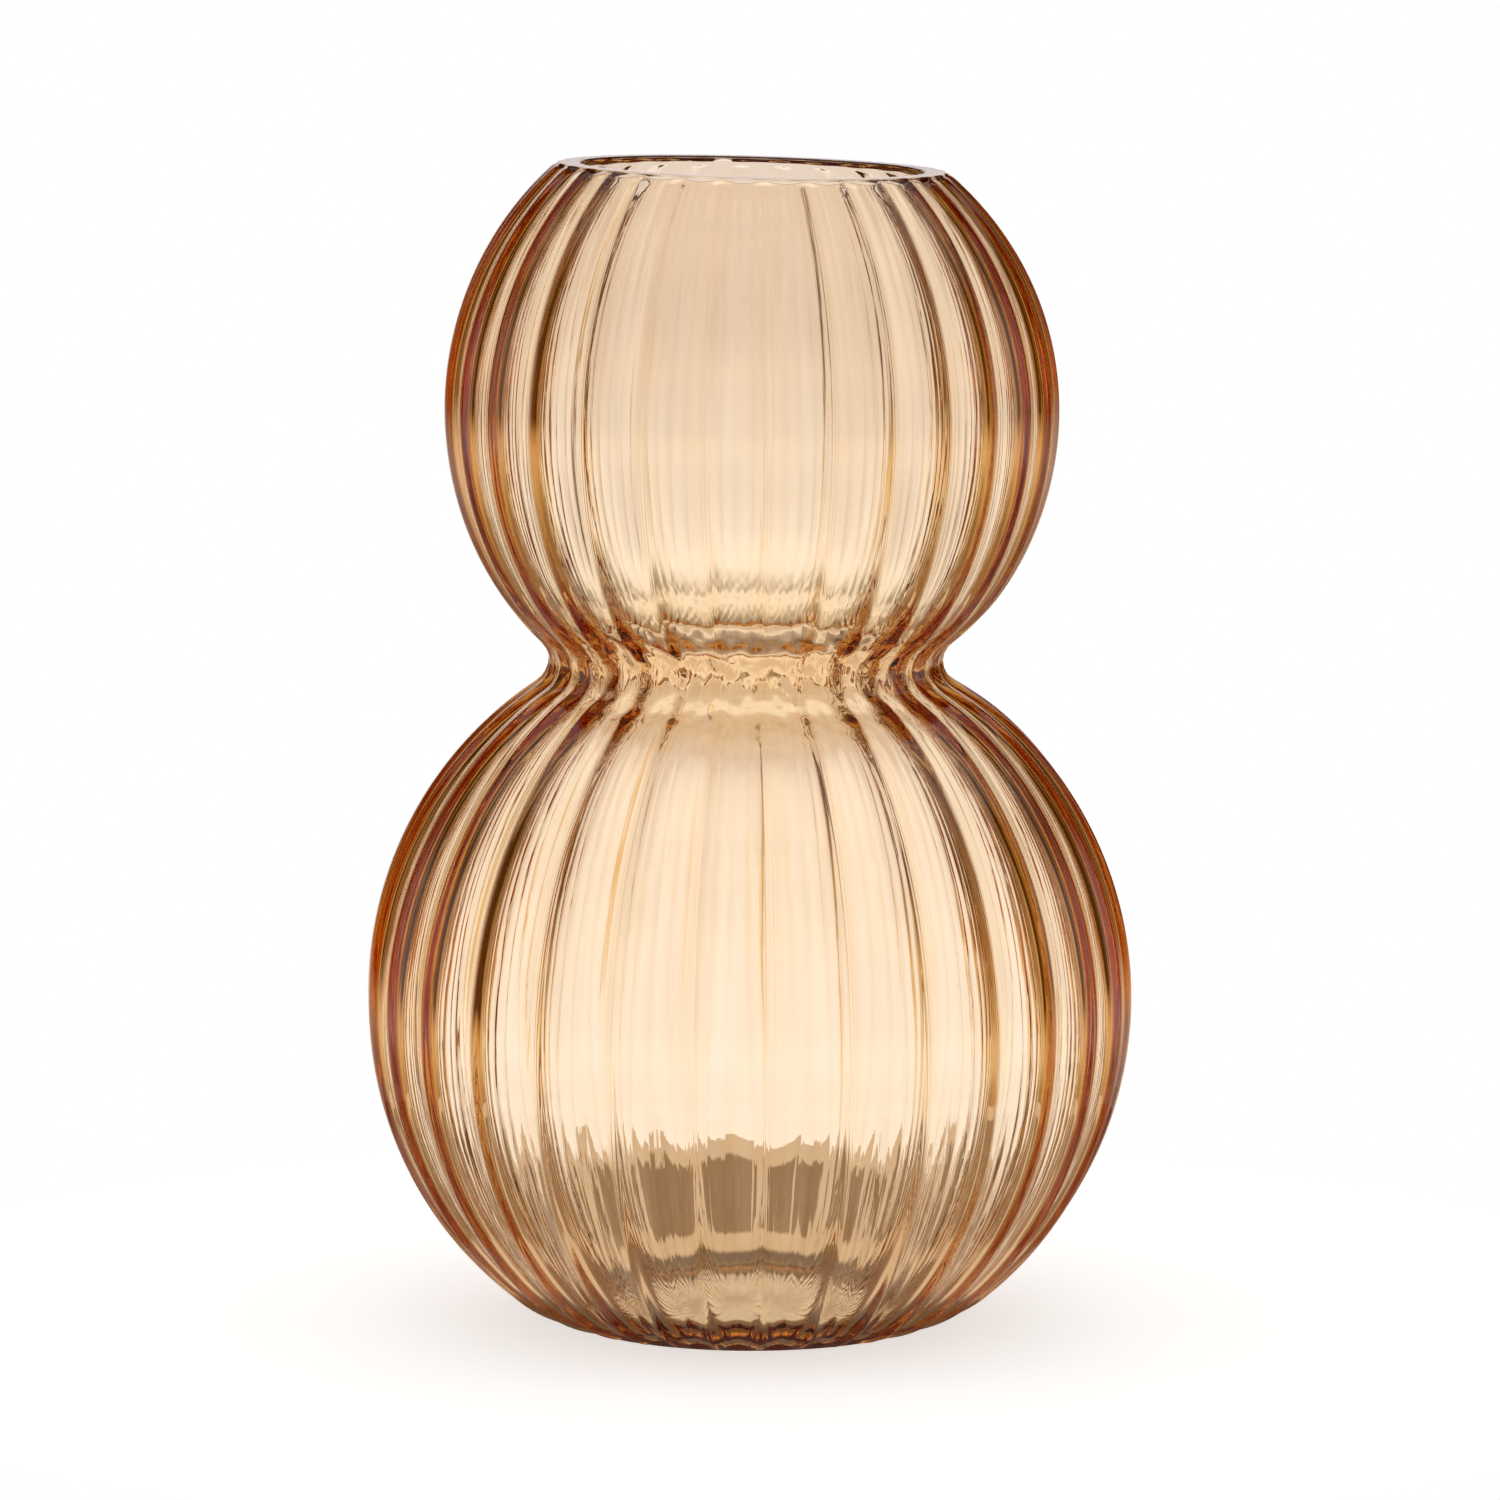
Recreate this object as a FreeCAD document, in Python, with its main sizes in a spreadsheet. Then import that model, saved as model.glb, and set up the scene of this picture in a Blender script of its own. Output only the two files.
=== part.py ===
import FreeCAD, Part
import math
import os
import Sketcher
from FreeCAD import Placement, Rotation, Vector

# Gourd vase of ribbed amber glass
#
# Two blown balls of glass, a smaller one on a larger one, run into each other at a pinched waist.
# Sharp upright ridges with shallow flutes between them run unbroken from under the base, over both
# balls and up to a mouth that is cut flat. The base is ground flat, and the floor is thick.
# The real vase is a single piece of glass. It is held here as seven lengths that meet face to face
# (base, the lower and upper half of each ball, waist and rim), each a plain ring round the hollow.
# The profile's arcs follow the middle of a flute, and the diameters are taken over the ridges.
# Millimetres, Z up, origin in the middle of the face that the vase stands on.


def relief(diameter):
    """Formula for the depth of a flute's middle under the circle of that diameter over the ridges."""
    flat = "{0} / 2 * (1 - cos(rib_angle / 2))"
    hollow = "flute_radius - sqrt(flute_radius ^ 2 - ({0} / 2 * sin(rib_angle / 2)) ^ 2)"
    return (flat + " + " + hollow).format(diameter)


# Driving sizes: word, value, meaning
DRIVING = [
    ("belly_diameter", 165, "lower ball, over the ridges"),
    ("crown_diameter", 131.8, "upper ball, over the ridges"),
    ("crown_stretch", 2.8, "upper arc is struck this much further behind the axis, so the ball is tall"),
    ("waist_diameter", 85.7, "pinch between the balls, over the ridges"),
    ("waist_fillet_radius", 7.2, "hollow curve where the two balls meet"),
    ("mouth_diameter", 81.4, "cut mouth, over the ridges"),
    ("heel_radius", 32, "round turn from the lower ball into the base"),
    ("heel_circle_diameter", 61, "circle through the middles of the heel arcs"),
    ("ground_depth", 0.5, "glass ground off the lowest points of the flutes"),
    ("flute_radius", 26, "hollow face between two ridges, across it"),
    ("inner_face_radius", 60, "inner face behind a flute, across it"),
    ("wall_thickness", 3, "glass in the middle of a flute"),
    ("floor_thickness", 7, "solid glass under the hollow"),
    ("floor_flat_radius", 42, "level middle of the floor"),
    ("floor_edge_rise", 8, "from the top of the heel to the floor's sloping edge"),
    ("base_rise", 2, "from the floor's edge to where the base ends"),
    ("rim_height", 7, "length of the rim under the cut mouth"),
    ("rim_bevel", 0.7, "bevel on the inner edge of the mouth"),
    ("rib_count", 30, "ridges round the vase"),
    ("stave_width_share", 1.04, "half width of a flute before it is trimmed, over half its width at the belly"),
    ("floor_seat_share", 0.7, "how deep the floor is let into the wall, over the wall's thickness"),
    ("trim_share", 1.2, "reach of the trimming cuts over the size that they clear"),
]

# Sizes that follow from the driving ones: word, formula, meaning
DERIVED = [
    ("rib_angle", "360 / rib_count", "share of the turn from one ridge to the next"),
    ("stave_half_width", "belly_diameter / 2 * sin(rib_angle / 2) * stave_width_share", "before trimming"),
    ("stave_rise", "flute_radius - sqrt(flute_radius ^ 2 - stave_half_width ^ 2)",
     "rise of the outer face at its edges"),
    ("inner_fall", "inner_face_radius - sqrt(inner_face_radius ^ 2 - stave_half_width ^ 2)",
     "fall of the inner face at its edges"),
    ("belly_relief", relief("belly_diameter"), "depth of a flute at the belly"),
    ("crown_relief", relief("crown_diameter"), "depth of a flute at the crown"),
    ("waist_relief", relief("waist_diameter"), "depth of a flute at the waist"),
    ("mouth_relief", relief("mouth_diameter"), "depth of a flute at the mouth"),
    ("belly_arc_radius", "belly_diameter / 2 - waist_relief", "lower arc"),
    ("belly_setback", "belly_relief - waist_relief", "lower arc is struck from this far behind the axis"),
    ("crown_arc_radius", "crown_diameter / 2 + crown_stretch - waist_relief", "upper arc"),
    ("crown_setback", "crown_stretch + crown_relief - waist_relief",
     "upper arc is struck from this far behind the axis"),
    ("heel_centre_radius", "heel_circle_diameter / 2", "heel arc centre from the axis"),
    ("heel_centre_height", "heel_radius - ground_depth", "heel arc centre"),
    ("belly_drop",
     "sqrt((belly_arc_radius - heel_radius) ^ 2 - (heel_centre_radius + belly_setback) ^ 2)",
     "lower centre down to the heel arc's centre"),
    ("belly_centre_height", "heel_centre_height + belly_drop", "middle of the lower ball"),
    ("heel_angle", "asin(belly_drop / (belly_arc_radius - heel_radius))",
     "heel arc meets the lower arc, below level"),
    ("heel_top_height", "heel_centre_height - heel_radius * sin(heel_angle)", "where the heel arc ends"),
    ("floor_edge_height", "heel_top_height + floor_edge_rise", "floor's edge at the wall"),
    ("base_height", "floor_edge_height + base_rise", "where the base ends"),
    ("base_angle", "asin((belly_centre_height - base_height) / belly_arc_radius)",
     "lower arc is divided, below level"),
    ("belly_to_waist", "belly_arc_radius + waist_fillet_radius", "lower centre to fillet centre"),
    ("crown_to_waist", "crown_arc_radius + waist_fillet_radius", "upper centre to fillet centre"),
    ("waist_centre_radius", "waist_diameter / 2 - waist_relief + waist_fillet_radius",
     "fillet centre from the axis"),
    ("waist_centre_height",
     "belly_centre_height + sqrt(belly_to_waist ^ 2 - (waist_centre_radius + belly_setback) ^ 2)",
     "fillet centre above the table"),
    ("crown_centre_height",
     "waist_centre_height + sqrt(crown_to_waist ^ 2 - (waist_centre_radius + crown_setback) ^ 2)",
     "middle of the upper ball"),
    ("belly_top_angle", "asin((waist_centre_height - belly_centre_height) / belly_to_waist)",
     "lower arc ends"),
    ("crown_low_angle", "asin((crown_centre_height - waist_centre_height) / crown_to_waist)",
     "upper arc starts, below level"),
    ("mouth_flute_radius", "mouth_diameter / 2 - mouth_relief", "middle of a flute at the mouth"),
    ("mouth_rise", "sqrt(crown_arc_radius ^ 2 - (mouth_flute_radius + crown_setback) ^ 2)",
     "upper centre up to the mouth"),
    ("overall_height", "crown_centre_height + mouth_rise", "table to the cut mouth"),
    ("rim_low_angle", "asin((mouth_rise - rim_height) / crown_arc_radius)", "upper arc is divided"),
    ("rim_high_angle", "asin((mouth_rise + rim_height) / crown_arc_radius)",
     "upper arc ends, above the cut"),
    ("rim_slope", "mouth_rise / (mouth_flute_radius + crown_setback)",
     "run of the wall inwards over its rise at the mouth"),
    ("rim_inner_radius", "mouth_flute_radius - wall_thickness * sqrt(1 + rim_slope ^ 2)",
     "inner edge of the mouth"),
    ("seat_depth", "wall_thickness * floor_seat_share", "floor's edge inside the wall"),
    ("seat_heel_radius", "heel_radius - seat_depth", "heel arc inside the wall"),
    ("seat_belly_radius", "belly_arc_radius - seat_depth", "lower arc inside the wall"),
    ("seat_edge_angle", "asin((belly_centre_height - floor_edge_height) / seat_belly_radius)",
     "floor's edge on that arc, below level"),
    ("foot_radius", "heel_centre_radius + seat_depth", "floor's lowest edge, inside the heel"),
    ("foot_seat_height",
     "heel_centre_height - sqrt(seat_heel_radius ^ 2 - (foot_radius - heel_centre_radius) ^ 2)",
     "top of that edge"),
    ("trim_radius", "belly_diameter / 2 * trim_share", "reach of the trimming cuts outwards"),
    ("trim_height", "overall_height * trim_share", "reach of the trimming cuts upwards"),
    ("trim_depth", "overall_height - trim_height", "reach of the trimming cuts downwards"),
]

# Centres of the profile's arcs: distance from the axis and height
BELLY_CENTRE = ("-belly_setback", "belly_centre_height")
CROWN_CENTRE = ("-crown_setback", "crown_centre_height")
HEEL_CENTRE = ("heel_centre_radius", "heel_centre_height")
WAIST_CENTRE = ("waist_centre_radius", "waist_centre_height")

document = FreeCAD.newDocument("gourd_vase")


def make_sheet():
    """Spreadsheet of the driving sizes, then the sizes that follow from them."""
    sheet = document.addObject("Spreadsheet::Sheet", "Sizes")
    row = 1
    for word, number, meaning in DRIVING:
        fill_row(sheet, row, word, str(number), meaning)
        row += 1
    for word, formula, meaning in DERIVED:
        fill_row(sheet, row, word, "=" + formula, meaning)
        row += 1
    document.recompute()
    return sheet


def fill_row(sheet, row, word, content, meaning):
    """One size: its word, its value and what it is."""
    sheet.set("A%d" % row, word)
    sheet.set("B%d" % row, content)
    sheet.set("C%d" % row, meaning)
    sheet.setAlias("B%d" % row, word)


sizes = make_sheet()


def bound(words):
    """Formula on the sheet's words, as an expression for another object."""
    for word in sorted([name for name, _, _ in DRIVING + DERIVED], key=len, reverse=True):
        words = replace_word(words, word)
    return words


def replace_word(text, word):
    """Puts the sheet's name before each whole use of one of its words."""
    pieces = []
    rest = text
    while word in rest:
        head, rest = rest.split(word, 1)
        whole = not head[-1:].isalpha() and head[-1:] not in ("_", ".")
        whole = whole and not rest[:1].isalpha() and rest[:1] != "_"
        pieces.append(head + ("Sizes." if whole else "") + word)
    return "".join(pieces) + rest


def value(words):
    """Number that a formula on the sheet's words gives now."""
    result = sizes.evalExpression(bound(words).replace("Sizes.", ""))
    return float(getattr(result, "Value", result))


def origin_feature(body, role):
    """Origin plane or axis of a body, by its role."""
    for feature in body.Origin.OriginFeatures:
        if feature.Role == role:
            return feature
    raise ValueError("no origin feature " + role)


def new_body(name):
    """Empty body of one sub-part."""
    body = document.addObject("PartDesign::Body", name)
    body.Label = name
    return body


def new_sketch(body, name, plane):
    """Sketch of a body on one of the body's own origin planes."""
    sketch = body.newObject("Sketcher::SketchObject", name)
    sketch.AttachmentSupport = (origin_feature(body, plane), [""])
    sketch.MapMode = "FlatFace"
    return sketch


def side_arc(start, end, centre):
    """Arc between two corners round a centre, the short way, and whether it runs from end to start.

    An arc in a sketch always runs anticlockwise, so the side may be stored turned about.
    """
    first = math.atan2(start.y - centre.y, start.x - centre.x)
    last = math.atan2(end.y - centre.y, end.x - centre.x)
    turned = (last - first) % (2 * math.pi) > math.pi
    if turned:
        first, last = last, first
    if last < first:
        last += 2 * math.pi
    circle = Part.Circle(centre, Vector(0, 0, 1), (start - centre).Length)
    return Part.ArcOfCircle(circle, first, last), turned


def draw_outline(sketch, corners, arcs):
    """Closed outline through the corners. arcs gives a side's radius and centre where it is round."""
    points = [Vector(value(across), value(up), 0) for across, up in corners]
    ends = []
    for side, start in enumerate(points):
        end = points[(side + 1) % len(points)]
        curve, turned = Part.LineSegment(start, end), False
        if side in arcs:
            centre = Vector(value(arcs[side][1]), value(arcs[side][2]), 0)
            curve, turned = side_arc(start, end, centre)
        sketch.addGeometry(curve, False)
        ends.append((2, 1) if turned else (1, 2))
    tie_outline(sketch, ends, corners, arcs)


def tie_outline(sketch, ends, corners, arcs):
    """Joins the sides and binds every corner and radius to the sheet."""
    for side, (first, last) in enumerate(ends):
        following = (side + 1) % len(ends)
        joint = Sketcher.Constraint("Coincident", side, last, following, ends[following][0])
        sketch.addConstraint(joint)
        tie_length(sketch, "DistanceX", side, first, corners[side][0], -2)
        tie_length(sketch, "DistanceY", side, first, corners[side][1], -1)
    for side, (radius, _, _) in arcs.items():
        index = sketch.addConstraint(Sketcher.Constraint("Radius", side, value(radius)))
        sketch.setExpression("Constraints[%d]" % index, bound(radius))


def tie_length(sketch, kind, side, point, words, axis):
    """Binds one coordinate of a corner, or lays the corner on an axis of the sketch."""
    if words == "0":
        sketch.addConstraint(Sketcher.Constraint("PointOnObject", side, point, axis))
        return
    index = sketch.addConstraint(Sketcher.Constraint(kind, -1, 1, side, point, value(words)))
    sketch.setExpression("Constraints[%d]" % index, bound(words))


def flute_stretch(body, name, centre, radius, high_angle, low_angle, hollow=False):
    """One flute, untrimmed, turned about the centre of an arc of the profile.

    centre holds the arc centre's distance from the axis and its height. The arc runs from
    high_angle down to low_angle. A hollow arc bends towards the axis of the vase, as at the waist.
    """
    inward, outward = (" + ", " - ") if hollow else (" - ", " + ")
    outer = radius + outward + "stave_rise"
    inner = radius + inward + "wall_thickness" + inward + "inner_fall"
    corners = [
        (outer, "-stave_half_width"),
        (outer, "stave_half_width"),
        (inner, "stave_half_width"),
        (inner, "-stave_half_width"),
    ]
    arcs = {
        0: ("flute_radius", radius + outward + "flute_radius", "0"),
        2: ("inner_face_radius", radius + inward + "wall_thickness" + inward + "inner_face_radius", "0"),
    }
    sketch = new_sketch(body, name + "_section", "XY_Plane")
    sketch.AttachmentOffset = Placement(Vector(), Rotation(Vector(0, -1, 0), value(high_angle)))
    sketch.setExpression("AttachmentOffset.Base.x", bound(centre[0]))
    sketch.setExpression("AttachmentOffset.Base.z", bound(centre[1]))
    sketch.setExpression("AttachmentOffset.Rotation.Angle", bound(high_angle))
    draw_outline(sketch, corners, arcs)
    stretch = body.newObject("PartDesign::Revolution", name)
    stretch.Profile = sketch
    stretch.ReferenceAxis = (sketch, ["V_Axis"])
    stretch.setExpression("Angle", bound("(" + high_angle + ") - (" + low_angle + ")"))
    return stretch


def turned_cut(body, name, corners, angle=None):
    """Groove turned about the axis of the vase, all round or through an angle."""
    sketch = new_sketch(body, name + "_section", "XZ_Plane")
    draw_outline(sketch, corners, {})
    cut = body.newObject("PartDesign::Groove", name)
    cut.Profile = sketch
    cut.ReferenceAxis = (sketch, ["V_Axis"])
    if angle:
        cut.Midplane = True
        cut.setExpression("Angle", bound(angle))
    else:
        cut.Angle = 360
    return cut


def repeat_flutes(body):
    """Cuts a flute back to its own share of the turn, then repeats it round the axis of the vase.

    The pattern reads the flute as it is made, so the document is worked out before it.
    """
    corners = [
        ("0", "trim_depth"),
        ("0", "trim_height"),
        ("-trim_radius", "trim_height"),
        ("-trim_radius", "trim_depth"),
    ]
    turned_cut(body, body.Name + "_flute_trim", corners, "360 - rib_angle")
    document.recompute()
    pattern = body.newObject("PartDesign::PolarPattern", body.Name + "_flutes")
    pattern.TransformMode = "Whole shape"
    pattern.Refine = False
    pattern.Axis = (origin_feature(body, "Z_Axis"), [""])
    pattern.Angle = 360
    pattern.setExpression("Occurrences", "Sizes.rib_count")
    body.Tip = pattern


def make_wall(name, centre, radius, high_angle, low_angle, hollow=False):
    """Ring of fluted wall that follows one arc of the profile."""
    body = new_body(name)
    flute_stretch(body, name + "_flute", centre, radius, high_angle, low_angle, hollow)
    repeat_flutes(body)
    return body


def make_base():
    """Solid glass foot: flutes round the heel, ground flat below, with a thick floor inside."""
    body = new_body("base")
    flute_stretch(body, "heel_flute", HEEL_CENTRE, "heel_radius", "-heel_angle", "-90 deg")
    flute_stretch(body, "base_belly_flute", BELLY_CENTRE, "belly_arc_radius", "-base_angle", "-heel_angle")
    repeat_flutes(body)
    add_floor(body)
    corners = [
        ("0", "0"),
        ("0", "trim_depth"),
        ("trim_radius", "trim_depth"),
        ("trim_radius", "0"),
    ]
    turned_cut(body, "ground_flat", corners)
    return body


def add_floor(body):
    """Thick floor. Its edge is let into the wall, between the wall's two faces."""
    sketch = new_sketch(body, "floor_section", "XZ_Plane")
    corners = [
        ("0", "0"),
        ("foot_radius", "0"),
        ("foot_radius", "foot_seat_height"),
        ("heel_centre_radius + seat_heel_radius * cos(heel_angle)",
         "heel_centre_height - seat_heel_radius * sin(heel_angle)"),
        ("seat_belly_radius * cos(seat_edge_angle) - belly_setback", "floor_edge_height"),
        ("floor_flat_radius", "floor_thickness"),
        ("0", "floor_thickness"),
    ]
    arcs = {
        2: ("seat_heel_radius",) + HEEL_CENTRE,
        3: ("seat_belly_radius",) + BELLY_CENTRE,
    }
    draw_outline(sketch, corners, arcs)
    floor = body.newObject("PartDesign::Revolution", "thick_floor")
    floor.Profile = sketch
    floor.ReferenceAxis = (sketch, ["V_Axis"])
    floor.Angle = 360


def make_rim():
    """Last length of the wall, cut flat at the mouth, with a bevel on the inner edge."""
    body = make_wall("rim", CROWN_CENTRE, "crown_arc_radius", "rim_high_angle", "rim_low_angle")
    corners = [
        ("0", "overall_height"),
        ("0", "trim_height"),
        ("trim_radius", "trim_height"),
        ("trim_radius", "overall_height"),
    ]
    turned_cut(body, "mouth_cut", corners)
    corners = [
        ("0", "overall_height"),
        ("0", "overall_height - rim_inner_radius - rim_bevel"),
        ("rim_inner_radius + rim_bevel", "overall_height"),
    ]
    turned_cut(body, "mouth_bevel", corners)
    return body


def check(parts):
    """Stops if any object failed, or any sub-part is not one valid solid."""
    for item in document.Objects:
        if "Invalid" in item.State or "Error" in item.State:
            raise RuntimeError("failed object " + item.Name + ": " + item.getStatusString())
    for part in parts:
        shape = part.Shape
        if shape.isNull() or not shape.isValid() or len(shape.Solids) != 1:
            raise RuntimeError("bad shape " + part.Label)


def export(parts):
    """Writes each sub-part under its own name and prints its volume."""
    os.makedirs("parts", exist_ok=True)
    for part in parts:
        part.Shape.exportStep("parts/" + part.Label + ".step")
        print(part.Label, "volume", round(part.Shape.Volume), "box", part.Shape.BoundBox)


vase = [
    make_base(),
    make_wall("lower_belly", BELLY_CENTRE, "belly_arc_radius", "0 deg", "-base_angle"),
    make_wall("lower_shoulder", BELLY_CENTRE, "belly_arc_radius", "belly_top_angle", "0 deg"),
    make_wall("waist", WAIST_CENTRE, "waist_fillet_radius", "belly_top_angle + 180 deg",
              "180 deg - crown_low_angle", hollow=True),
    make_wall("upper_belly", CROWN_CENTRE, "crown_arc_radius", "0 deg", "-crown_low_angle"),
    make_wall("upper_shoulder", CROWN_CENTRE, "crown_arc_radius", "rim_low_angle", "0 deg"),
    make_rim(),
]
document.recompute()
check(vase)
export(vase)
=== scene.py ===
import math

import bpy
import numpy as np
from mathutils import Euler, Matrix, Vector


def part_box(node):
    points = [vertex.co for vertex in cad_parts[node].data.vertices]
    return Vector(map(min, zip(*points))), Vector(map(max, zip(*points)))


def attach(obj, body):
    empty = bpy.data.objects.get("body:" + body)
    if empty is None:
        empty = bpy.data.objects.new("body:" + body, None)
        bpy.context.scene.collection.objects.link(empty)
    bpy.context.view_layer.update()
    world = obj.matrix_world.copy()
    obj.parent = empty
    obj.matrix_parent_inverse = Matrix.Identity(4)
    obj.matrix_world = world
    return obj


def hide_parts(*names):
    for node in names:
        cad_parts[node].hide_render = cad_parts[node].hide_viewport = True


# Gourd vase of fluted amber glass
#
# It is blown in one piece, so it is one closed mesh: outer face, cut mouth, inner face, floor and
# ground foot. The glass is clear, and its colour comes from the thickness that light goes through.
# Metres, in the frame of the model: Z up, origin in the middle of the face that the vase stands on.

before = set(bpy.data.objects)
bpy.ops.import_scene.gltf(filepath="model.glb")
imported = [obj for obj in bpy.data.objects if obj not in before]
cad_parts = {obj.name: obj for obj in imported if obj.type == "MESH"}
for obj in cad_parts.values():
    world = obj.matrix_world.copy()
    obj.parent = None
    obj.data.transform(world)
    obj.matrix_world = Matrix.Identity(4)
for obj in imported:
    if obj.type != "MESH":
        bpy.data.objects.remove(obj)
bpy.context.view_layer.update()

MM = 0.001

# Camera, fitted to the outline of the vase in the photograph
CAMERA_DISTANCE = 1.80
CAMERA_ELEVATION = math.radians(7.40)
CAMERA_TURN = math.radians(-3.3)
CAMERA_ROLL = math.radians(0.24)
CAMERA_CLIP_START = 0.01
AIM_HEIGHT = 123.6 * MM
FOCAL_PIXELS = 8370
IMAGE_PIXELS = 1500
SENSOR_WIDTH = 36

# Profile over the ridges: the balls and the mouth are read from the frame
BELLY_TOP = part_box("lower_belly")[1]
CROWN_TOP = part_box("upper_belly")[1]
MOUTH_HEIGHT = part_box("rim")[1].z
BELLY_RADIUS = BELLY_TOP.y
BELLY_CENTRE = BELLY_TOP.z
CROWN_STRETCH = 2.8 * MM
CROWN_RADIUS = CROWN_TOP.y + CROWN_STRETCH
CROWN_CENTRE = CROWN_TOP.z
WAIST_FILLET = 6.0 * MM
HEEL_CIRCLE_RADIUS = 32.5 * MM
HEEL_CENTRE_HEIGHT = 31.5 * MM

# Wall and floor
WALL_THICKNESS = 3 * MM
FLOOR_THICKNESS = 3.5 * MM
FLOOR_FILLET = 28.5 * MM

# Flutes. They narrow and hollow more towards the foot, below FOOT_REACH.
RIDGE_COUNT = 30
FLUTE_RADIUS = 20 * MM
FOOT_FLUTE_RADIUS = 9 * MM
FOOT_REACH = 45 * MM
RIDGE_ROUNDING = 0.6 * MM

# Inner face: how much of the flutes it repeats, at these heights, with softer ridges
INNER_ROUNDING = 2.0 * MM
INNER_ECHO_SHARES = (0.75, 0.35)
ECHO_HEIGHTS = (45 * MM, 85 * MM)

# Cut mouth: rounding of its two edges in degrees of turn, and the places of its rows across
EDGE_ROUNDING = 0.5 * MM
EDGE_TURN = (0, 30, 60, 90)
LIP_SHARES = (0.1, 0.5, 0.9)

# Marks of blowing by hand: thicker and crumpled glass inside the waist, a pinch that is deeper on
# one side of it, and a mouth that is cut a little out of level
WAIST_GATHER = 2.7 * MM
GATHER_REACH = 10 * MM
CRUMPLE_DEPTH = 0.3 * MM
CRUMPLE_REACH = 8 * MM
PINCH_DEPTH = 2.0 * MM
PINCH_HEIGHT = 8 * MM
RIM_TILT = math.radians(1.4)

# Unevenness: seed, waves round the vase, radians in a metre along the profile, number of waves
OUTER_WAVES = (3, (1, 6), (-30, 30), 8)
INNER_WAVES = (5, (1, 9), (-40, 40), 10)
CRUMPLE_WAVES = (9, (10, 60), (-1500, 1500), 24)
OUTER_WAVE_HEIGHT = 0.10 * MM
INNER_WAVE_HEIGHT = 0.15 * MM

# Fine upright streaks left in the glass by the mould and the blowing
STREAKS_AROUND = 50
STREAKS_UPRIGHT = 35
STREAK_DETAIL = 2
STREAK_DISTORTION = 0.6
STREAK_HEIGHT = 0.015 * MM

# Glass
GLASS_IOR = 1.5
ABSORPTION_COLOUR = (0.91, 0.60, 0.05, 1)
ABSORPTION_DENSITY = 100

# Studio: pale panels round the vase, dark gaps between them, and a golden slit in the middle of
# each gap. A cosine round the vase is 1 in the middle of a panel and -1 in the middle of a gap: over
# the values in PANEL_EDGE, gap turns into panel, and over those in SLIT_EDGE, gap turns into slit.
# Each light is a list of heights, 0 straight down, 0.5 level and 1 straight up, and their colours.
PANEL_COUNT = 4
PANEL_EDGE = (0.0, 0.5)
SLIT_EDGE = (-0.93, -0.99)
PANEL_LIGHT = [
    (0.30, (0.35, 0.33, 0.31)),
    (0.36, (0.6, 0.58, 0.55)),
    (0.40, (1.2, 1.2, 1.22)),
    (0.43, (1.2, 1.2, 1.22)),
    (0.47, (0.9, 0.84, 0.82)),
    (0.64, (0.9, 0.84, 0.82)),
    (0.75, (0.3, 0.26, 0.22)),
    (0.92, (0.9, 0.9, 0.9)),
]
SLIT_LIGHT = [
    (0.30, (0.5, 0.42, 0.35)),
    (0.40, (1.2, 1.15, 1.0)),
    (0.435, (1.2, 1.05, 0.8)),
    (0.49, (0.45, 0.28, 0.12)),
    (0.64, (0.35, 0.22, 0.1)),
    (0.92, (0.9, 0.85, 0.8)),
]
GAP_LIGHT = [
    (0.30, (0.5, 0.35, 0.2)),
    (0.40, (1.1, 0.9, 0.6)),
    (0.43, (1.0, 0.72, 0.36)),
    (0.47, (0.12, 0.045, 0.006)),
    (0.62, (0.08, 0.035, 0.006)),
    (0.85, (0.05, 0.02, 0.005)),
    (0.92, (0.9, 0.85, 0.8)),
]
STUDIO_TINT = (1.0, 0.97, 0.98, 1)
REFLECTED_TINT = (0.66, 0.46, 0.22, 1)
WHITE = (1, 1, 1, 1)

# Table top: white to the camera. Through the glass it is a glow of painted light and shade: beige
# for the vase's painted amber shadow, a ring of painted shadow fields between beige spokes, a painted
# shadow ring round the foot and a painted pool of light in the middle.
FLOOR_RADIUS = 215 * MM
FLOOR_SIDES = 96
FLOOR_DROP = -0.2 * MM
FLOOR_GLOW = 0.62
FLOOR_WHITE = (0.9, 0.9, 0.9, 1)
# Painted amber shadow of the vase on the table, seen through the glass as a beige glow
FLOOR_PAINTED_AMBER_SHADOW = (0.76, 0.59, 0.45, 1)
# Painted shadow: the dark fields between the spokes
FLOOR_PAINTED_SHADOW = (0.33, 0.22, 0.14, 1)
FLOOR_SHADE = (0.16, 0.11, 0.08, 1)
# Painted light: a brighter pool in the middle, under the foot
FLOOR_PAINTED_LIGHT = (1.0, 0.97, 0.95, 1)
# Ring that holds the painted shadow fields
PAINTED_SHADOW_RING = (76 * MM, 187 * MM)
SHADE_RING = (30 * MM, 54 * MM)
RING_SOFTNESS = 3 * MM
SPOKE_COUNT = 12
SPOKE_EDGE = (-0.6, -0.4)

# Bounces that light needs to come out of the glass again
LIGHT_BOUNCES = 48

# Mesh
COLUMNS_PER_FLUTE = 14
ROW_STEP = 1.3 * MM
FEWEST_ARC_POINTS = 4
FEWEST_LINE_POINTS = 3
GROUND_TOLERANCE = 0.001 * MM

# Sockets of a Mix node that mixes colours
MIX_SHARE, MIX_FIRST, MIX_SECOND, MIX_RESULT = 0, 6, 7, 2


# Profile

def arc(centre, radius, start, end):
    """Points of an arc in the plane of the profile, about a row's step apart."""
    count = max(FEWEST_ARC_POINTS, int(abs(end - start) * radius / ROW_STEP))
    angles = np.linspace(start, end, count)
    return np.stack([centre[0] + radius * np.cos(angles), centre[1] + radius * np.sin(angles)], axis=1)


def line(start, end):
    """Points of a straight stretch, about a row's step apart."""
    start, end = np.array(start, float), np.array(end, float)
    count = max(FEWEST_LINE_POINTS, int(np.linalg.norm(end - start) / ROW_STEP))
    return start + (end - start) * np.linspace(0, 1, count)[:, None]


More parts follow.
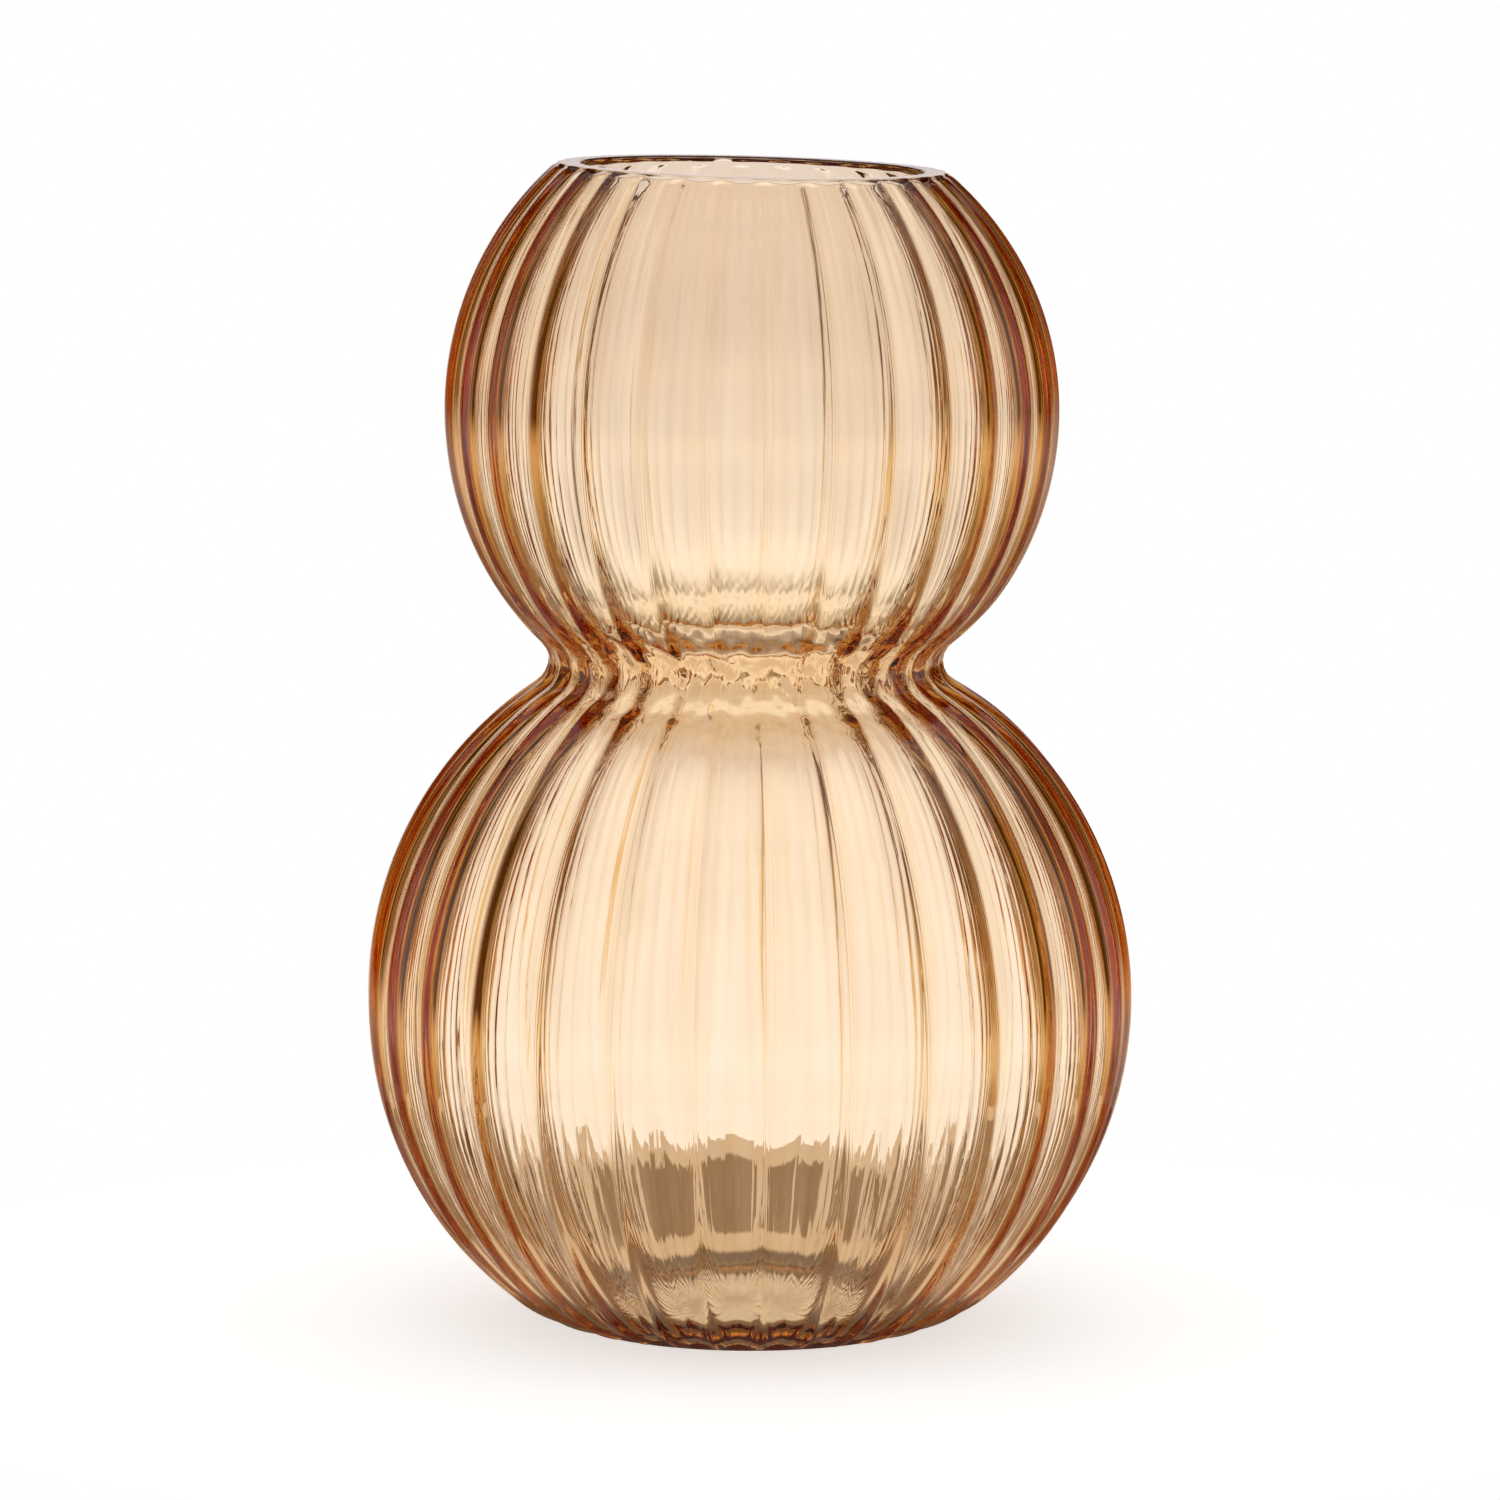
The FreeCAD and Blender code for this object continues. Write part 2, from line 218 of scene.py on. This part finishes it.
def waist_centre():
    """Centre of the fillet that touches both balls: distance from the axis, and height."""
    lower, upper = BELLY_RADIUS + WAIST_FILLET, CROWN_RADIUS + WAIST_FILLET
    rise = CROWN_CENTRE - BELLY_CENTRE
    gap = math.hypot(rise, CROWN_STRETCH)
    along = (lower ** 2 - upper ** 2 + gap ** 2) / (2 * gap)
    across = math.sqrt(lower ** 2 - along ** 2)
    radius = (across * rise - along * CROWN_STRETCH) / gap
    height = BELLY_CENTRE + (along * rise + across * CROWN_STRETCH) / gap
    return radius, height


def side_profile(depth, start):
    """Side of the vase up to the mouth, at a depth under the ridges, from the direction of start."""
    waist = waist_centre()
    waist_low = math.atan2(waist[1] - BELLY_CENTRE, waist[0])
    waist_high = -math.atan2(CROWN_CENTRE - waist[1], waist[0] + CROWN_STRETCH)
    mouth_angle = math.asin((MOUTH_HEIGHT - CROWN_CENTRE) / (CROWN_RADIUS - depth))
    belly_start = math.atan2(start[1] - BELLY_CENTRE, start[0])
    belly = arc((0, BELLY_CENTRE), BELLY_RADIUS - depth, belly_start, waist_low)
    fillet = arc(waist, WAIST_FILLET + depth, waist_low + math.pi, waist_high + math.pi)
    crown = arc((-CROWN_STRETCH, CROWN_CENTRE), CROWN_RADIUS - depth, waist_high, mouth_angle)
    return np.concatenate([belly, fillet[1:], crown[1:]])


def outer_profile():
    """Ground face from the axis outwards, the heel, then the side up to the cut mouth."""
    heel = (HEEL_CIRCLE_RADIUS, HEEL_CENTRE_HEIGHT)
    heel_radius = BELLY_RADIUS - math.hypot(HEEL_CIRCLE_RADIUS, BELLY_CENTRE - HEEL_CENTRE_HEIGHT)
    heel_top = math.atan2(HEEL_CENTRE_HEIGHT - BELLY_CENTRE, HEEL_CIRCLE_RADIUS)
    ground_angle = -math.asin(HEEL_CENTRE_HEIGHT / heel_radius)
    turn = arc(heel, heel_radius, ground_angle, heel_top)
    ground = line((ROW_STEP, 0), (turn[0, 0] - ROW_STEP, 0))
    return np.concatenate([ground, turn[:-1], side_profile(0, heel)])


def inner_profile():
    """Inner face from the mouth down the side, round the floor's edge and in to the axis."""
    reach = BELLY_RADIUS - WALL_THICKNESS - FLOOR_FILLET
    height = FLOOR_THICKNESS + FLOOR_FILLET
    centre = (math.sqrt(reach ** 2 - (BELLY_CENTRE - height) ** 2), height)
    side = side_profile(WALL_THICKNESS, centre)
    turn = arc(centre, FLOOR_FILLET, -math.pi / 2, math.atan2(height - BELLY_CENTRE, centre[0]))
    floor = line((ROW_STEP, FLOOR_THICKNESS), (centre[0] - ROW_STEP, FLOOR_THICKNESS))
    return np.concatenate([floor, turn[:-1], side])[::-1]


def profile_normals(points):
    """Unit normals on the right of the way that the points run, which is out of the glass."""
    along = np.gradient(points, axis=0)
    along /= np.linalg.norm(along, axis=1)[:, None]
    return np.stack([along[:, 1], -along[:, 0]], axis=1)


def travel_along(points):
    """Distance along the profile to each of its points."""
    steps = np.linalg.norm(np.diff(points, axis=0), axis=1)
    return np.concatenate([[0], np.cumsum(steps)])


def sunk(profile, depth):
    """Radius and height of a profile's points once each is sunk by a depth along its normal."""
    normals = profile_normals(profile)
    radii = profile[:, 0][:, None] - normals[:, 0][:, None] * depth
    heights = profile[:, 1][:, None] - normals[:, 1][:, None] * depth
    return radii, heights


# Relief of the faces

def flute_bend(radius, height):
    """How fast a flute sinks from its ridges: faster towards the foot, where the flutes narrow."""
    low = np.clip(1 - height / FOOT_REACH, 0, 1) ** 2
    hollow = (1 - low) / (2 * FLUTE_RADIUS) + low / (2 * FOOT_FLUTE_RADIUS)
    return hollow + 1 / (2 * np.maximum(radius, HEEL_CIRCLE_RADIUS))


def flute_depth(radius, height):
    """Depth of a flute's middle under the ridges."""
    half_width = radius * math.pi / RIDGE_COUNT
    return half_width ** 2 * flute_bend(radius, height)


def relief(profile, share, rounding):
    """Depth under the ridges for each row of a profile, and each column's share of the flute's width."""
    radius, height = profile[:, 0], profile[:, 1]
    half_width = (radius * math.pi / RIDGE_COUNT)[:, None]
    from_ridge = half_width * (1 - np.abs(2 * share - 1))[None, :]
    soft = np.sqrt(from_ridge ** 2 + rounding ** 2) - rounding
    return flute_bend(radius, height)[:, None] * (2 * half_width * soft - soft ** 2)


def waves(angles, travel, seed, turns, rise, count):
    """Smooth unevenness round and along the vase, of about unit height: seeded, periodic round it."""
    rng = np.random.default_rng(seed)
    total = np.zeros((len(travel), len(angles)))
    for _ in range(count):
        around = rng.integers(turns[0], turns[1] + 1)
        along = rng.uniform(rise[0], rise[1])
        first, second = rng.uniform(0, 2 * math.pi, 2)
        total += np.cos(around * angles[None, :] + along * travel[:, None] + first) * math.cos(second)
    return total / math.sqrt(count)


def near_waist(heights, reach):
    """1 at the height of the waist, and less with distance from it."""
    return np.exp(-((heights - waist_centre()[1]) / reach) ** 2)


# Faces

def outer_face(angles, share):
    """Radius and height of the outer face, from the middle of the foot to the mouth."""
    profile = outer_profile()
    depth = relief(profile, share, RIDGE_ROUNDING)
    depth += OUTER_WAVE_HEIGHT * waves(angles, travel_along(profile), *OUTER_WAVES)
    depth[profile[:, 1] < GROUND_TOLERANCE] = 0
    radii, heights = sunk(profile, depth)
    return radii, np.maximum(heights, 0)


def inner_face(angles, share):
    """Radius and height of the inner face, from the mouth to the middle of the floor."""
    profile = inner_profile()
    travel, height = travel_along(profile), profile[:, 1]
    echo = relief(profile, share, INNER_ROUNDING)
    echo_share = np.interp(height, ECHO_HEIGHTS, INNER_ECHO_SHARES)[:, None]
    depth = echo_share * echo + (1 - echo_share) * flute_depth(*profile.T)[:, None]
    depth += INNER_WAVE_HEIGHT * waves(angles, travel, *INNER_WAVES)
    crumple = waves(angles, travel, *CRUMPLE_WAVES)
    depth += CRUMPLE_DEPTH * near_waist(height, CRUMPLE_REACH)[:, None] * crumple
    depth += WAIST_GATHER * near_waist(height, GATHER_REACH)[:, None]
    depth *= np.clip(profile[:, 0] / HEEL_CIRCLE_RADIUS, 0, 1)[:, None] ** 2
    return sunk(profile, -depth)


def lip(outer_edge, inner_edge):
    """Radius and height of the rows across the cut mouth, with both of its edges a little rounded."""
    turn = np.radians(EDGE_TURN)
    reach = EDGE_ROUNDING
    radii = [outer_edge - reach * (1 - math.cos(t)) for t in turn]
    heights = [MOUTH_HEIGHT - reach * (1 - math.sin(t)) for t in turn]
    across = (outer_edge - reach) - (inner_edge + reach)
    for part in LIP_SHARES:
        radii.append(outer_edge - reach - across * part)
        heights.append(MOUTH_HEIGHT)
    for t in turn[::-1]:
        radii.append(inner_edge + reach * (1 - math.cos(t)))
        heights.append(MOUTH_HEIGHT - reach * (1 - math.sin(t)))
    return np.stack(radii), np.array(heights)[:, None] * np.ones(len(outer_edge))[None, :]


def blown_by_hand(angles, radii, heights):
    """Pinches the waist more on one side and tilts the cut of the mouth, as on the real vase."""
    pinch = near_waist(heights, PINCH_HEIGHT) * (1 + np.cos(angles)) / 2
    radii = radii - PINCH_DEPTH * pinch
    up = np.clip((heights - CROWN_CENTRE) / (MOUTH_HEIGHT - CROWN_CENTRE), 0, 1)
    heights = heights - math.tan(RIM_TILT) * radii * np.cos(angles) * up ** 2
    return radii, heights


def vase_rows():
    """Angle of each column, and radius and height of every point by row and column."""
    columns = RIDGE_COUNT * COLUMNS_PER_FLUTE
    share = (np.arange(columns) / COLUMNS_PER_FLUTE) % 1
    angles = (np.arange(columns) - COLUMNS_PER_FLUTE / 2) * 2 * math.pi / columns
    outer_radii, outer_heights = outer_face(angles, share)
    inner_radii, inner_heights = inner_face(angles, share)
    lip_radii, lip_heights = lip(outer_radii[-1], inner_radii[0])
    radii = np.concatenate([outer_radii[:-1], lip_radii, inner_radii[1:]])
    heights = np.concatenate([outer_heights[:-1], lip_heights, inner_heights[1:]])
    return angles, *blown_by_hand(angles, radii, heights)


def glass_mesh():
    """Closed mesh of the vase, with a fan of triangles in the middle of the foot and of the floor."""
    angles, radii, heights = vase_rows()
    rows, columns = radii.shape
    x = radii * np.cos(angles)[None, :]
    y = radii * np.sin(angles)[None, :]
    points = np.stack([x, y, heights], axis=-1).reshape(-1, 3)
    points = np.concatenate([points, [[0, 0, heights[0, 0]], [0, 0, heights[-1, 0]]]])
    row = np.arange(rows - 1)[:, None] * columns
    column = np.arange(columns)[None, :]
    after = (column + 1) % columns
    quads = np.stack([row + column, row + after, row + columns + after, row + columns + column], axis=-1)
    faces = quads.reshape(-1, 4).tolist()
    last = (rows - 1) * columns
    for k in range(columns):
        following = (k + 1) % columns
        faces.append([rows * columns, following, k])
        faces.append([rows * columns + 1, last + k, last + following])
    mesh = bpy.data.meshes.new("vase_glass")
    mesh.from_pydata(points.tolist(), [], faces)
    mesh.polygons.foreach_set("use_smooth", [True] * len(mesh.polygons))
    mesh.update()
    return mesh


# Shader nodes. An input is given another node's output, or a plain number or colour.

def feed(tree, socket, value):
    """Links an input to another node's output, or sets it to a plain value."""
    if isinstance(value, bpy.types.NodeSocket):
        tree.links.new(value, socket)
    else:
        socket.default_value = value


def math_node(tree, operation, *values):
    """Result of a math node."""
    node = tree.nodes.new("ShaderNodeMath")
    node.operation = operation
    for socket, value in zip(node.inputs, values):
        feed(tree, socket, value)
    return node.outputs[0]


def soft_step(tree, value, edge):
    """Soft step from 0 at the first end of the edge to 1 at its second end."""
    node = tree.nodes.new("ShaderNodeMapRange")
    node.interpolation_type = "SMOOTHSTEP"
    node.inputs["From Min"].default_value = edge[0]
    node.inputs["From Max"].default_value = edge[1]
    feed(tree, node.inputs["Value"], value)
    return node.outputs[0]


def mix_colours(tree, share, first, second, blend="MIX"):
    """Mix of two colours by a share."""
    node = tree.nodes.new("ShaderNodeMix")
    node.data_type = "RGBA"
    node.blend_type = blend
    for slot, value in ((MIX_SHARE, share), (MIX_FIRST, first), (MIX_SECOND, second)):
        feed(tree, node.inputs[slot], value)
    return node.outputs[MIX_RESULT]


def colour_ramp(tree, value, stops):
    """Colour by a value, through a ramp with the given places and colours."""
    ramp = tree.nodes.new("ShaderNodeValToRGB")
    elements = ramp.color_ramp.elements
    elements.remove(elements[-1])
    elements[0].position, elements[0].color = stops[0][0], stops[0][1] + (1,)
    for place, colour in stops[1:]:
        elements.new(place).color = colour + (1,)
    feed(tree, ramp.inputs[0], value)
    return ramp.outputs[0]


def position(tree):
    """X, Y and Z of the point that is shaded."""
    place = tree.nodes.new("ShaderNodeNewGeometry")
    split = tree.nodes.new("ShaderNodeSeparateXYZ")
    feed(tree, split.inputs[0], place.outputs["Position"])
    return split.outputs["X"], split.outputs["Y"], split.outputs["Z"]


# Glass

def streak_normal(tree):
    """Normal that is bent by fine upright streaks: noise by direction from the axis and by height."""
    x, y, z = position(tree)
    across = tree.nodes.new("ShaderNodeCombineXYZ")
    feed(tree, across.inputs["X"], x)
    feed(tree, across.inputs["Y"], y)
    unit = tree.nodes.new("ShaderNodeVectorMath")
    unit.operation = "NORMALIZE"
    feed(tree, unit.inputs[0], across.outputs[0])
    around = tree.nodes.new("ShaderNodeVectorMath")
    around.operation = "SCALE"
    around.inputs["Scale"].default_value = STREAKS_AROUND
    feed(tree, around.inputs[0], unit.outputs[0])
    upright = tree.nodes.new("ShaderNodeCombineXYZ")
    feed(tree, upright.inputs["Z"], math_node(tree, "MULTIPLY", z, STREAKS_UPRIGHT))
    joined = tree.nodes.new("ShaderNodeVectorMath")
    feed(tree, joined.inputs[0], around.outputs[0])
    feed(tree, joined.inputs[1], upright.outputs[0])
    streaks = tree.nodes.new("ShaderNodeTexNoise")
    streaks.inputs["Scale"].default_value = 1
    streaks.inputs["Detail"].default_value = STREAK_DETAIL
    streaks.inputs["Distortion"].default_value = STREAK_DISTORTION
    feed(tree, streaks.inputs["Vector"], joined.outputs[0])
    bump = tree.nodes.new("ShaderNodeBump")
    bump.inputs["Strength"].default_value = 1
    bump.inputs["Distance"].default_value = STREAK_HEIGHT
    feed(tree, bump.inputs["Height"], streaks.outputs[0])
    return bump.outputs[0]


def glass_material():
    """Clear polished glass with fine streaks, which takes up blue and some green on the way through."""
    material = bpy.data.materials.new("amber_glass")
    material.use_nodes = True
    tree = material.node_tree
    shader = tree.nodes["Principled BSDF"]
    shader.inputs["Base Color"].default_value = WHITE
    shader.inputs["Roughness"].default_value = 0
    shader.inputs["IOR"].default_value = GLASS_IOR
    shader.inputs["Transmission Weight"].default_value = 1
    feed(tree, shader.inputs["Normal"], streak_normal(tree))
    volume = tree.nodes.new("ShaderNodeVolumeAbsorption")
    volume.inputs["Color"].default_value = ABSORPTION_COLOUR
    volume.inputs["Density"].default_value = ABSORPTION_DENSITY
    feed(tree, tree.nodes["Material Output"].inputs["Volume"], volume.outputs[0])
    return material


def make_vase():
    """The whole vase, in place of the lengths that the model is divided into."""
    vase = bpy.data.objects.new("vase", glass_mesh())
    bpy.context.scene.collection.objects.link(vase)
    vase.data.materials.append(glass_material())
    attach(vase, "root")
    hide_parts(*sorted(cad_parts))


# Table top

def ring_share(tree, radius, ring):
    """1 in a ring round the vase's axis and 0 outside it, with soft edges."""
    inside = soft_step(tree, radius, (ring[0] - RING_SOFTNESS, ring[0] + RING_SOFTNESS))
    outside = soft_step(tree, radius, (ring[1] + RING_SOFTNESS, ring[1] - RING_SOFTNESS))
    return math_node(tree, "MULTIPLY", inside, outside)


def painted_floor_glow(tree):
    """Glow of painted light and shade on the table top, in what the glass bends."""
    x, y, _ = position(tree)
    squares = math_node(tree, "MULTIPLY_ADD", x, x, math_node(tree, "MULTIPLY", y, y))
    radius = math_node(tree, "SQRT", squares)
    bearing = math_node(tree, "ARCTAN2", y, x)
    spokes = math_node(tree, "COSINE", math_node(tree, "MULTIPLY", bearing, SPOKE_COUNT))
    spoke = soft_step(tree, spokes, SPOKE_EDGE)
    # Painted shadow fields in the ring between the spokes, over the beige painted amber shadow
    painted_shadow = math_node(tree, "MULTIPLY", ring_share(tree, radius, PAINTED_SHADOW_RING), spoke)
    shaded_top = mix_colours(tree, painted_shadow, FLOOR_PAINTED_AMBER_SHADOW, FLOOR_PAINTED_SHADOW)
    # Painted pool of light in the middle, inside the painted shadow ring round the foot
    painted_light_share = soft_step(tree, radius, (SHADE_RING[0] + RING_SOFTNESS, SHADE_RING[0] - RING_SOFTNESS))
    lit_middle = mix_colours(tree, painted_light_share, shaded_top, FLOOR_PAINTED_LIGHT)
    return mix_colours(tree, ring_share(tree, radius, SHADE_RING), lit_middle, FLOOR_SHADE)


def shadowed_white(tree):
    """White that keeps a soft shadow: a glow, and a diffuse surface over it."""
    glow = tree.nodes.new("ShaderNodeEmission")
    glow.inputs["Color"].default_value = WHITE
    glow.inputs["Strength"].default_value = FLOOR_GLOW
    lit = tree.nodes.new("ShaderNodeBsdfDiffuse")
    lit.inputs["Color"].default_value = FLOOR_WHITE
    both = tree.nodes.new("ShaderNodeAddShader")
    feed(tree, both.inputs[0], glow.outputs[0])
    feed(tree, both.inputs[1], lit.outputs[0])
    return both.outputs[0]


def floor_material():
    """White with a soft shadow to the camera, and a glow of painted light and shade in what the glass
    bends.
    """
    material = bpy.data.materials.new("floor_white")
    material.use_nodes = True
    tree = material.node_tree
    tree.nodes.remove(tree.nodes["Principled BSDF"])
    # The table top glows with painted light and shade for the rays that the glass bends
    painted_glow = tree.nodes.new("ShaderNodeEmission")
    feed(tree, painted_glow.inputs["Color"], painted_floor_glow(tree))
    paths = tree.nodes.new("ShaderNodeLightPath")
    choice = tree.nodes.new("ShaderNodeMixShader")
    feed(tree, choice.inputs[0], paths.outputs["Is Camera Ray"])
    feed(tree, choice.inputs[1], painted_glow.outputs[0])
    feed(tree, choice.inputs[2], shadowed_white(tree))
    feed(tree, tree.nodes["Material Output"].inputs["Surface"], choice.outputs[0])
    return material


def make_floor():
    """Round table top, a hair under the foot."""
    mesh = bpy.data.meshes.new("floor")
    turns = np.arange(FLOOR_SIDES) * 2 * math.pi / FLOOR_SIDES
    ring = [(FLOOR_RADIUS * math.cos(t), FLOOR_RADIUS * math.sin(t), FLOOR_DROP) for t in turns]
    mesh.from_pydata(ring, [], [list(range(FLOOR_SIDES))])
    floor = bpy.data.objects.new("floor", mesh)
    bpy.context.scene.collection.objects.link(floor)
    mesh.materials.append(floor_material())


# Studio

def studio_light(tree):
    """Colour of the light from each direction: pale panels all round, with dark gaps between them."""
    coordinates = tree.nodes.new("ShaderNodeTexCoord")
    direction = tree.nodes.new("ShaderNodeSeparateXYZ")
    feed(tree, direction.inputs[0], coordinates.outputs["Generated"])
    height = math_node(tree, "MULTIPLY_ADD", direction.outputs["Z"], 0.5, 0.5)
    bearing = math_node(tree, "ARCTAN2", direction.outputs["Y"], direction.outputs["X"])
    wave = math_node(tree, "COSINE", math_node(tree, "MULTIPLY", bearing, PANEL_COUNT))
    panel = colour_ramp(tree, height, PANEL_LIGHT)
    slit = colour_ramp(tree, height, SLIT_LIGHT)
    gap = colour_ramp(tree, height, GAP_LIGHT)
    light = mix_colours(tree, soft_step(tree, wave, PANEL_EDGE), gap, panel)
    return mix_colours(tree, soft_step(tree, wave, SLIT_EDGE), light, slit)


def make_world():
    """White to the camera. Light that was reflected on its way through the glass is golden."""
    world = bpy.data.worlds.new("studio")
    bpy.context.scene.world = world
    world.use_nodes = True
    tree = world.node_tree
    paths = tree.nodes.new("ShaderNodeLightPath")
    reflected = math_node(tree, "MINIMUM", paths.outputs["Glossy Depth"], 1)
    inside = math_node(tree, "MULTIPLY", reflected, paths.outputs["Is Transmission Ray"])
    tint = mix_colours(tree, inside, STUDIO_TINT, REFLECTED_TINT)
    light = mix_colours(tree, 1, studio_light(tree), tint, "MULTIPLY")
    seen = mix_colours(tree, paths.outputs["Is Camera Ray"], light, WHITE)
    feed(tree, tree.nodes["Background"].inputs["Color"], seen)


def make_camera():
    """Camera at the place that the photograph was taken from."""
    data = bpy.data.cameras.new("camera")
    data.sensor_width = SENSOR_WIDTH
    data.lens = FOCAL_PIXELS * SENSOR_WIDTH / IMAGE_PIXELS
    data.clip_start = CAMERA_CLIP_START
    camera = bpy.data.objects.new("camera", data)
    bpy.context.scene.collection.objects.link(camera)
    across = CAMERA_DISTANCE * math.cos(CAMERA_ELEVATION)
    camera.location = (
        across * math.sin(CAMERA_TURN),
        -across * math.cos(CAMERA_TURN),
        AIM_HEIGHT + CAMERA_DISTANCE * math.sin(CAMERA_ELEVATION),
    )
    look = Euler((math.pi / 2 - CAMERA_ELEVATION, 0, CAMERA_TURN))
    camera.rotation_euler = (look.to_matrix() @ Euler((0, 0, CAMERA_ROLL)).to_matrix()).to_euler()
    bpy.context.scene.camera = camera


make_vase()
make_floor()
make_world()
make_camera()
bpy.context.scene.view_settings.view_transform = "Standard"
bpy.context.scene.cycles.max_bounces = LIGHT_BOUNCES
bpy.context.scene.cycles.transmission_bounces = LIGHT_BOUNCES
bpy.context.scene.cycles.glossy_bounces = LIGHT_BOUNCES
